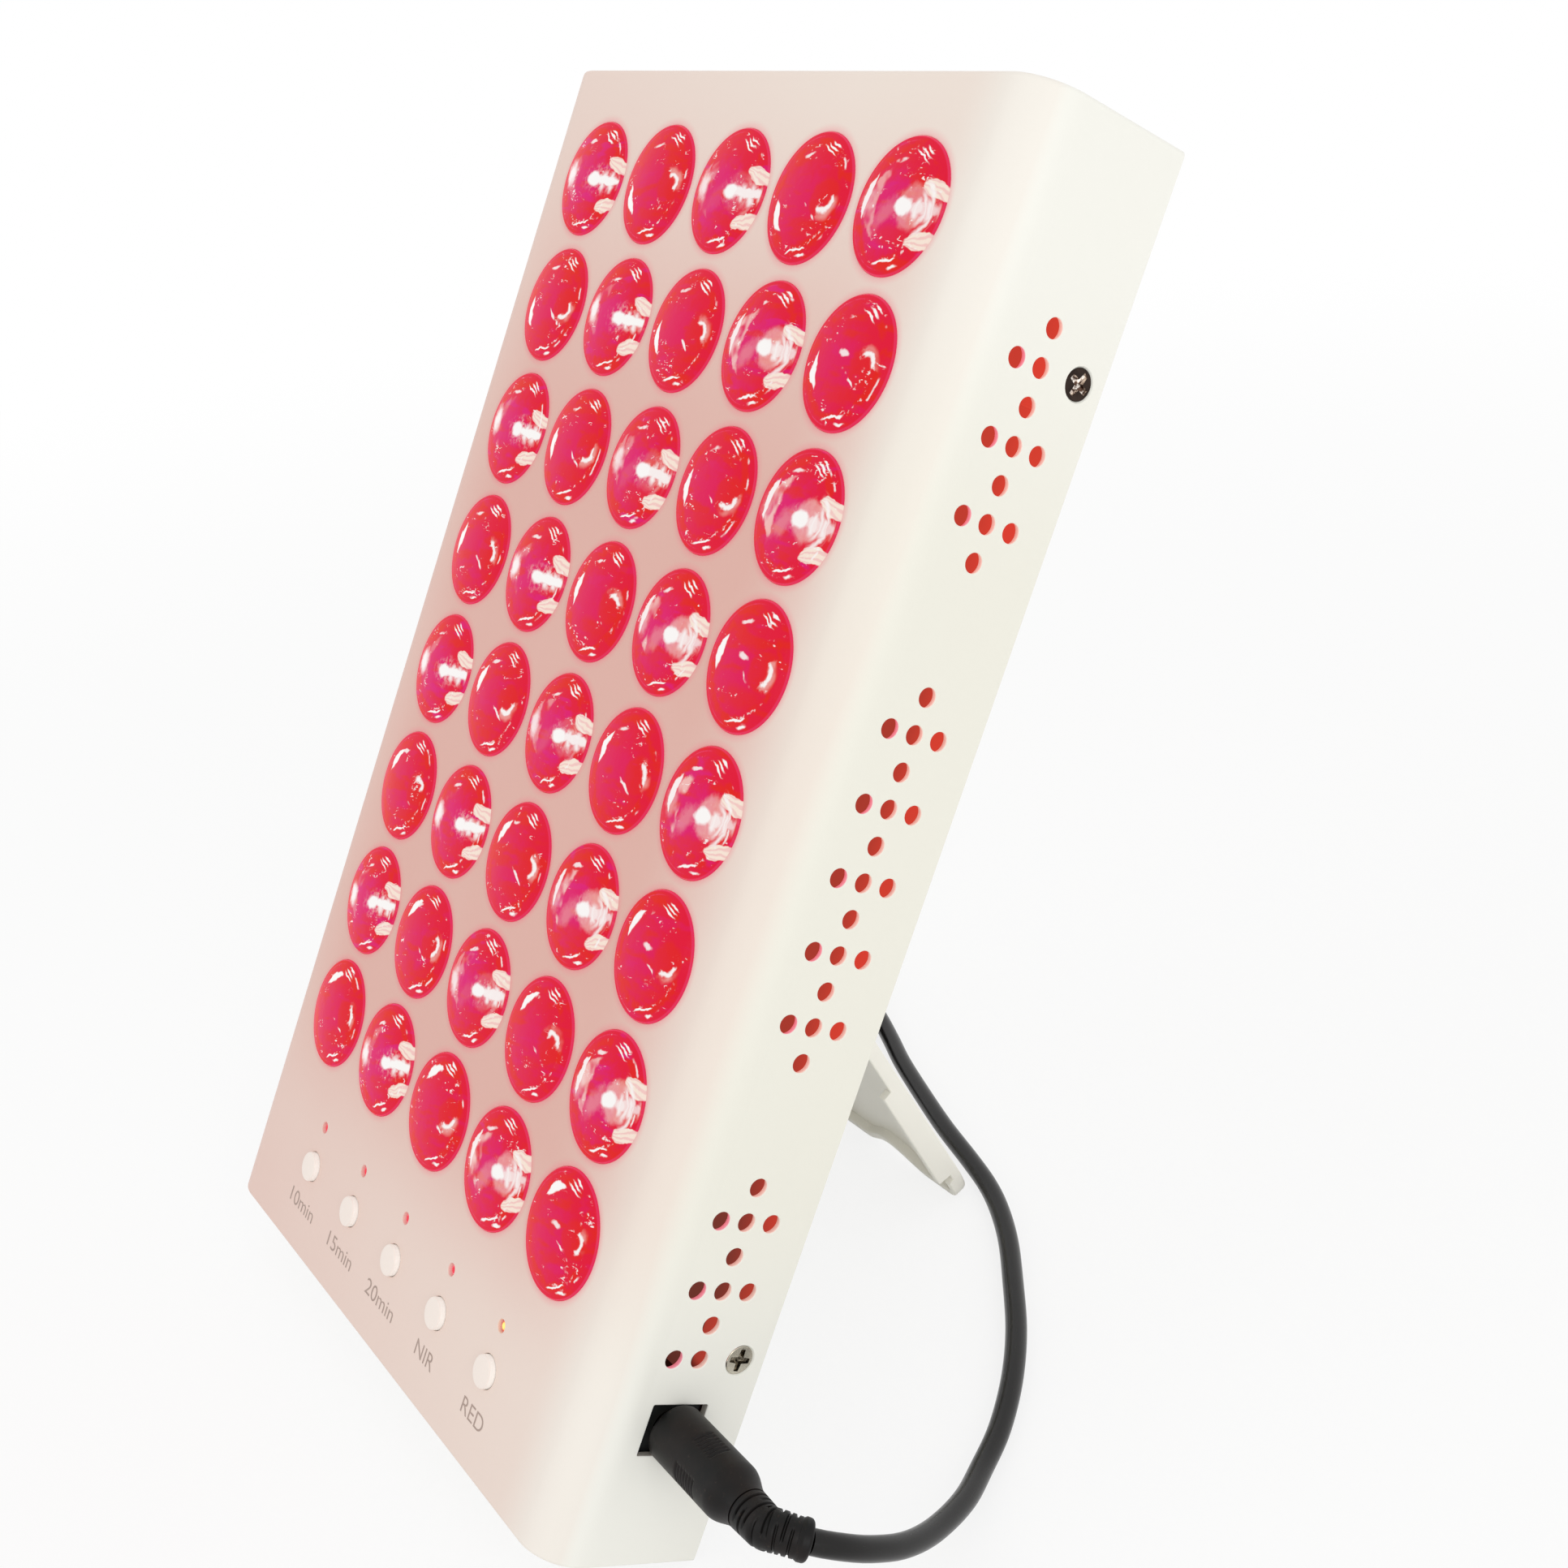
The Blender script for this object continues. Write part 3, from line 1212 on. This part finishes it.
def buildCover():
    # The solid itself with its edges rounded. Its faces towards the inside of the case are
    # those in front of its plate's middle that don't line the recess for the stand
    mesh = nodes["rear_cover"].data.copy()
    mesh.materials.clear()
    mend(mesh, lambda bm: bmesh.ops.dissolve_limit(
        bm, angle_limit=math.radians(cover["flatAngle"]), verts=bm.verts, edges=bm.edges,
    ))
    piece = addPiece("coverPlate", mesh, "cover lit", "case", "rear_cover")
    bevel = piece.modifiers.new("edge", "BEVEL")
    bevel.width, bevel.segments = cover["edge"], 2
    bevel.limit_method, bevel.angle_limit = "ANGLE", math.radians(cover["edgeAngle"])
    low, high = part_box("kickstand")
    recess = (high[0] - low[0]) / 2 + cover["beside"]
    for face in mesh.polygons:
        corners = np.array([mesh.vertices[i].co for i in face.vertices])
        depth = (corners[:, 1] - caseShift) * leanCos - corners[:, 2] * leanSin
        lining = np.abs(corners[:, 0]).max() < recess and depth.min() > -cover["recess"]
        if depth.mean() < -cover["middle"] and not lining:
            face.material_index = 1


stand = {
    "halfWidth": 0.024,
    "length": 0.115,
    "corner": 0.004,
    "notchWidth": 0.024,
    "notchDepth": 0.0045,
    "plate": 0.0016,
    "wall": 0.002,
    "steps": ((0, 0.0034), (-0.076, 0.0056), (-0.1065, 0.0024), (-0.1085, 0.0037)),
    "hinge": (0.0035, 0.1186),  # below the rear face, and up the case
    "heel": 0.0061,
    "edge": 0.0004,
    "footEdge": 0.0012,
    "footBlend": 0.003,
    "stepSlope": 0.00015,
    "knuckle": (0.0032, 0.007),  # radius and length
}


def openStand(points):
    # Turns the folded stand out on its hinge axis, then places it with the case
    hinge = next(joint for joint in frame["joints"] if joint["name"] == "stand_hinge")
    angle = -math.radians(hinge["range_deg"][0])
    cos, sin = math.cos(angle), math.sin(angle)
    x, y, z = np.moveaxis(np.asarray(points, float), -1, 0)
    depth, height = stand["hinge"]
    return leaned(np.stack([x, y * cos - z * sin - depth, y * sin + z * cos + height], -1))


def standEdge():
    # From the hinge down one side, round the notched foot and up the other side
    half, foot, corner = stand["halfWidth"], -stand["length"], stand["corner"]
    side = [(half, stand["heel"])]
    for z, _ in stand["steps"]:
        side += [(half, z + stand["stepSlope"]), (half, z - stand["stepSlope"])]
    side += roundedCorner((half - corner, foot + corner), corner, 0, -90, 10)
    share = np.linspace(0.5, 0, 20)
    rise = stand["notchDepth"] * (1 + np.cos(tau * share)) / 2
    side += list(zip(share * stand["notchWidth"], foot + rise))
    right = np.array(side)
    return np.concatenate([right, (right * (-1, 1))[-2::-1]])


def buildStand():
    # The wall's section (inset, rise) is carried along the edge and rises in steps
    edge = standEdge()
    e, wall, plate = stand["edge"], stand["wall"], stand["plate"]
    heading = unit(np.gradient(edge, axis=0))
    straight = np.abs(edge[:, 0]) > stand["halfWidth"] - 1e-6
    inward = np.stack([heading[:, 1], -heading[:, 0]], -1)
    inward[straight] = np.stack([-np.sign(edge[straight, 0]), edge[straight, 0] * 0], -1)
    rise = np.full(len(edge), plate)
    for z, height in stand["steps"]:
        rise[edge[:, 1] < z] = height
    lowest = stand["steps"][-1][0]
    outer = e + (stand["footEdge"] - e) * slope(-edge[:, 1], -lowest, stand["footBlend"] - lowest)
    turns = list(zip(*quarterTurn(5)))
    rows = [(outer * a, outer * b) for a, b in turns]
    rows += [(e * b, rise - e * a) for a, b in turns]
    rows += [(wall - e * b, np.maximum(rise - e * a, plate)) for a, b in turns[::-1]]
    rows.append((wall, plate))
    grid = []
    for inset, lift in rows:
        inset, lift = np.broadcast_to(inset, rise.shape), np.broadcast_to(lift, rise.shape)
        flat = edge + inward * inset[:, None]
        grid.append(np.stack([flat[:, 0], stand["hinge"][0] - lift, flat[:, 1]], -1))
    grid = np.stack(grid)
    skin = Skin(openStand)
    skin.grid(grid, ends=True)
    skin.patch(np.concatenate([grid[:, 0], grid[::-1, -1]]))
    radius, length = stand["knuckle"]
    start, end = stand["halfWidth"] - length, stand["halfWidth"]
    knuckle = [(0, start), (radius - e, start)]
    knuckle += roundedCorner((radius - e, start + e), e, -60, 0, 3)
    knuckle += roundedCorner((radius - e, end - e), e, 0, 90, 4) + [(0, end)]
    for hand in (-1, 1):
        turned(skin, knuckle, lambda q: q[..., [2, 0, 1]] * (hand, 1, 1), 40)
    skin.make("standTray", "stand", "stand", "kickstand")


buildStand()
buildCover()
print("stand and cover made")


# Plug, its bend relief and the whole lead

plug = {
    "radius": 0.0054,
    "length": 0.0235,
    "face": 0.0006,
    "shoulder": 0.018,
    "neck": 0.0038,
    "edge": 0.0006,
    "gripStart": 0.0088,
    "gripEnd": 0.0150,
    "gripPitch": 0.00088,
    "gripDepth": 0.00030,
    "gripEdge": 0.0004,
    "smoothFrom": 0.0015,
    "gripTurn": 20,  # of its four panels, in degrees
    "sides": 128,
}
relief = {
    "length": 0.012,
    "tip": 0.0033,
    "pitch": 0.0012,
    "depth": 0.00042,
    "start": 0.0006,  # the grooves fade in over this, and out before the collar over "end"
    "end": 0.0003,
    "collar": 0.0018,
    "bulge": 0.00025,
    "bulgeSlope": 0.0004,
    "round": 0.0007,
    "rings": 120,
    "sides": 72,
}
cord = {
    "radius": 0.0022,
    "straight": 0.0045,
    "gap": 0.0003,
    "fine": 0.0008,  # steps along its ends, and along the stretch between plug and coil
    "coarse": 0.0022,
    "sides": 24,
    "route": (
        (0.1086, -0.0470, 0.0302), (0.1120, -0.0436, 0.0286), (0.1134, -0.0388, 0.0254),
        (0.1131, -0.0330, 0.0210), (0.1112, -0.0255, 0.0156), (0.1074, -0.0168, 0.0106),
        (0.1015, -0.0062, 0.0062), (0.0950, 0.0028, 0.0036), (0.0882, 0.0125, 0.0026),
        (0.0792, 0.0229, 0.0026), (0.0686, 0.0327, 0.0026), (0.0563, 0.0420, 0.0026),
        (0.0450, 0.0500, 0.0026), (0.0350, 0.0557, 0.0026), (0.0262, 0.0595, 0.0026),
        (0.0159, 0.0626, 0.0026), (0.0016, 0.0664, 0.0026), (-0.0130, 0.0710, 0.0026),
        (-0.0283, 0.0762, 0.0026), (-0.0385, 0.0803, 0.0028), (-0.0485, 0.0841, 0.0031),
        (-0.0590, 0.0875, 0.0034),
    ),
    "tail": (
        (-0.0628, 0.0253, 0.0068), (-0.0545, 0.0250, 0.0044), (-0.0470, 0.0232, 0.0034),
        (-0.0419, 0.0196, 0.0042),
    ),
}
coil = {
    "centre": (-0.075, 0.057),
    "loops": 5.5,
    "perLoop": 48,
    "leastRadius": 0.0183,
    "turnGap": 0.0005,
    "climb": 0.5,
    "low": 0.0037,
}
adapter = {
    "low": (-0.088, -0.0332, 0.0003),
    "high": (-0.032, 0.0008, 0.0263),
    "edge": 0.003,
    "reliefX": -0.040,
    "reliefZ": 0.0052,
    "reliefLength": 0.011,
    "reliefRadius": (0.0036, 0.0007),  # at the supply, and what it loses towards its tip
    "ribDepth": 0.0003,
    "ribs": 5,
    "prongEdge": 0.0006,
}
tie = {
    "turn": math.radians(205),  # its place on the coil
    "within": 0.98,  # cosine of the angle in which the turns count as passing there
    "clearance": 0.0004,
    "corner": 0.0016,
    "half": (0.0003, 0.003),  # of thickness and width
}


def coilPath():
    # The radius falls steadily to the middle of the winding and rises again; the height
    # climbs one turn step in the half loop around that middle
    step = cord["radius"] * 2 + coil["turnGap"]
    loop = np.linspace(0, coil["loops"], round(coil["loops"] * coil["perLoop"]) + 1)
    middle = coil["loops"] / 2
    radius = coil["leastRadius"] + step * np.abs(loop - middle)
    angle = math.pi / 2 + tau * loop
    x, y = coil["centre"][0] + radius * np.cos(angle), coil["centre"][1] + radius * np.sin(angle)
    climb = slope(loop, middle - coil["climb"] / 2, middle + coil["climb"] / 2)
    return np.stack([x, y, coil["low"] + step * (1 - np.cos(math.pi * climb)) / 2], -1)


def leadPaths():
    thick, gap = cord["radius"] * 2, cord["gap"]
    neck = caseSide + plug["face"] + plug["length"] + gap
    out = leaned((neck, shell["socketDepth"] - case["depth"], shell["socketZ"]))
    winding = coilPath()
    ahead = np.array([thick, 0, 0])
    entry, leave = winding[0] + ahead, winding[-1] + ahead
    start, end = [out, out + (cord["straight"], 0, 0)], [entry + (gap + thick, 0, 0), entry]
    whole = smoothPath([*start, *cord["route"], *end], cord["fine"])
    split = int(np.searchsorted(distanceAlong(whole), relief["length"]))
    tipY = adapter["high"][1] + adapter["reliefLength"] + gap * 2
    tip = np.array([adapter["reliefX"], tipY, adapter["reliefZ"]])
    tail = smoothPath([leave, *cord["tail"], tip + (0, cord["radius"], 0), tip], cord["fine"])
    lead = np.concatenate([resampled(whole[split:], cord["coarse"]), winding[1:-1], tail])
    return whole[:split + 1], lead


def buildPlug():
    # Radius as a function of the distance t along and the angle around
    radius, length, edge = plug["radius"], plug["length"], plug["edge"]
    start, end, soft = plug["gripStart"], plug["gripEnd"], plug["gripEdge"]
    t = np.concatenate([
        edge * quarterTurn(6)[1], np.linspace(plug["smoothFrom"], start - soft, 8),
        np.linspace(start, end, 85), np.linspace(end + soft / 2, length, 40),
    ])[:, None]
    angle = fullTurn(plug["sides"])
    fall = slope(t, plug["shoulder"], length)
    radius = radius - edge * (1 - np.sqrt(1 - slope(-t, -edge, 0) ** 2))
    radius = radius + (plug["neck"] - plug["radius"]) * fall**2 * (3 - 2 * fall)
    inGrip = slope(t, start, start + soft) * slope(-t, -end, soft - end)
    panel = slope(np.cos(4 * (angle - math.radians(plug["gripTurn"]))), 0.05, 0.3)
    groove = (1 - np.cos(tau * (t - start) / plug["gripPitch"])) / 2
    radius = radius - plug["gripDepth"] * inGrip * panel * (0.25 + 0.75 * groove)
    x = caseSide + plug["face"] + t
    y = shell["socketDepth"] - case["depth"] + radius * np.cos(angle)
    points = np.stack(np.broadcast_arrays(x, y, shell["socketZ"] + radius * np.sin(angle)), -1)
    skin = Skin()
    skin.grid(points, wrap=True, ends=True)
    return skin.make("plugGrip", "rubber", "case", "plug_body", sharp=60)


def buildRelief(path):
    # Wide ribs with grooves that stop short above and below, by turns, and an end collar
    path = resampled(path, relief["length"] / relief["rings"])
    along = distanceAlong(path)[:, None]
    length = along[-1]
    angle, phase = fullTurn(relief["sides"]), along / relief["pitch"]
    base = plug["neck"] + (relief["tip"] - plug["neck"]) * along / length
    cut = slope(np.cos(tau * phase), 0.35, 0.65)
    even = np.floor(phase + 0.5) % 2 == 0
    reach = slope(np.where(even, np.abs(np.cos(angle)), np.abs(np.sin(angle))), 0.3, 0.5)
    collarStart = length - relief["collar"]
    ribbed = slope(-along, -collarStart, relief["end"] - collarStart)
    ribbed = ribbed * slope(along, 0, relief["start"])
    bulge = relief["bulge"] * slope(along, collarStart, collarStart + relief["bulgeSlope"])
    end = slope(along, length - relief["round"], length)
    radius = base + bulge - relief["depth"] * cut * reach * ribbed
    skin = Skin(onTable)
    tube(skin, path, radius - relief["round"] * (1 - np.sqrt(1 - end**2)), relief["sides"])
    return skin.make("bendRelief", "rubber", "case", "strain_relief", sharp=60)


def buildSupply():
    # Plug-in supply, lying under the leaning case
    skin = Skin(onTable)
    block(skin, adapter["low"], adapter["high"], adapter["edge"])
    body = skin.make("supplyBody", "adapter", "case", "adapter_body")
    start = np.array([adapter["reliefX"], adapter["high"][1] + cord["gap"], adapter["reliefZ"]])
    t = np.linspace(0, 1, 60)
    ribs = adapter["ribDepth"] * (1 - np.cos(tau * adapter["ribs"] * t)) / 2 * (t < 0.999)
    wide, loss = adapter["reliefRadius"]
    skin = Skin(onTable)
    path = start + t[:, None] * (0, adapter["reliefLength"], 0)
    tube(skin, path, (wide - loss * t - ribs)[:, None], 40)
    pieces = [skin.make("supplyRelief", "rubber", "case", "adapter_relief", sharp=60), body]
    for side in ("Left", "Right"):
        node = f"prong_{side.lower()}"
        skin = Skin(onTable)
        block(skin, *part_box(node), adapter["prongEdge"])
        pieces.append(skin.make(f"prong{side}", "prong", "case", node))
    return pieces


def buildTie():
    # A flat band carried round a rounded rectangle that holds the turns passing there
    heading = np.array([math.cos(tie["turn"]), math.sin(tie["turn"])])
    aside = coilPath() - (*coil["centre"], 0)
    away = np.hypot(aside[:, 0], aside[:, 1])
    passing = aside[:, :2] @ heading > tie["within"] * away
    turns = np.stack([away[passing], aside[passing, 2]], -1)
    low, high = turns.min(0), turns.max(0)
    half = (high - low) / 2 + cord["radius"] + tie["clearance"]
    around = roundedRing(*(high + low) / 2, half, tie["corner"], 6)(0)
    flat = unit(np.roll(around, -1, 0) - np.roll(around, 1, 0))
    normal = np.stack([flat[:, 1], -flat[:, 0]], -1)
    thin, wide = tie["half"]
    rows = []
    for lift, aside in ((-thin, -wide), (thin, -wide), (thin, wide), (-thin, wide), (-thin, -wide)):
        ring = around + normal * lift
        spot = coil["centre"] + ring[:, :1] * heading + aside * np.array([-heading[1], heading[0]])
        rows.append(np.column_stack([spot, ring[:, 1]]))
    skin = Skin(onTable)
    skin.grid(np.stack(rows), wrap=True)
    return skin.make("coilBand", "tie", "case", "coil_tie")


def buildLead():
    bend, lead = leadPaths()
    grip, collar = buildPlug(), buildRelief(bend)
    skin = Skin(onTable)
    tube(skin, lead, cord["radius"], cord["sides"])
    piece = skin.make("powerLead", "cord", "case", "lead lead_coil lead_tail")
    supply, band = buildSupply(), buildTie()
    length = float(distanceAlong(lead)[-1])
    tuple(lead[0])
    [tuple(p) for p in lead]
    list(supply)
    print(f"lead of {length:.3f} m made")


buildLead()


# Finishes of the nodes that keep their own shape

plainNodes = {
    "led_board": "board", "control_board": "board", "dc_jack": "socket", "plug_barrel": "nickel",
    "hinge_pin_left": "nickel", "hinge_pin_right": "nickel", "control_post_left": "brass",
    "control_post_right": "brass", "board_wire_red": "lit", "board_wire_black": "socket",
}
for i in range(1, 5):
    plainNodes[f"board_post_{i}"] = "brass"
    plainNodes[f"board_screw_{i}"] = "nickel"
for i in range(1, 6):
    plainNodes[f"switch_{i}"] = "socket"
for node, finish in plainNodes.items():
    mesh = nodes[node].data
    mesh.materials.clear()
    mesh.materials.append(finishes[finish])


# Floor, world and lamps

studio = {
    "floorSize": 12.0,
    "floor": tone(246, 246, 245),
    "floorShade": tone(243, 243, 242),
    "whiteFrom": (0.3, 1.2),  # the floor fades to white between these distances
    "worldStrength": 0.80,
    "aim": (0, 0, 0.1),
    "key": {"place": (1.7, -0.35, 0.9), "size": 1.1, "power": 7.0},
    "fill": {"place": (-0.5, -1.7, 1.3), "size": 1.4, "power": 4.0},
}


def makeStudio():
    size, white = studio["floorSize"] / 2, (1.0, 1.0, 1.0, 1.0)
    corners = [(-size, -size, 0), (size, -size, 0), (size, size, 0), (-size, size, 0)]
    mesh = bpy.data.meshes.new("floor")
    mesh.from_pydata(corners, [], [(0, 1, 2, 3)])
    floor = linked("floor", mesh)
    f = Finish("paleFloor", Roughness=0.9, Specular_IOR_Level=0.1)
    place = f.objectPlace()
    f.colour(f.noise(place, 3.0) * 0.3, studio["floor"], studio["floorShade"])
    x, y, _ = f.parts(place)
    share = x.hypot(y).fade(*studio["whiteFrom"]) * 0.2 + 0.8
    shine = f.node("ShaderNodeEmission", None, {"Color": white, "Strength": 1.0})
    shaders = [f.seenRays() * share, f.shader.outputs[0], shine.outputs[0]]
    mixed = f.node("ShaderNodeMixShader", None, shaders)
    f.feed(f.tree.nodes["Material Output"].inputs["Surface"], mixed.outputs[0])
    mesh.materials.append(f.material)

    # The world lights the object at its own strength and shows as plain white
    world = bpy.data.worlds.new("studioWorld")
    bpy.context.scene.world = world
    world.use_nodes = True
    world.node_tree.nodes.clear()
    sky = Nodes(world.node_tree)
    light, backdrop = (
        sky.node("ShaderNodeBackground", None, {"Color": white, "Strength": strength})
        for strength in (studio["worldStrength"], 1.0)
    )
    shaders = [sky.seenRays(), light.outputs[0], backdrop.outputs[0]]
    mixed = sky.node("ShaderNodeMixShader", None, shaders)
    sky.node("ShaderNodeOutputWorld", None, {"Surface": mixed.outputs[0]})

    for name in ("key", "fill"):
        settings = studio[name]
        data = bpy.data.lights.new(name, "AREA")
        data.size, data.energy = settings["size"], settings["power"]
        lamp = linked(name, data)
        lamp.location = settings["place"]
        aim = Vector(studio["aim"]) - lamp.location
        lamp.rotation_euler = aim.to_track_quat("-Z", "Y").to_euler()


makeStudio()
print("studio made")
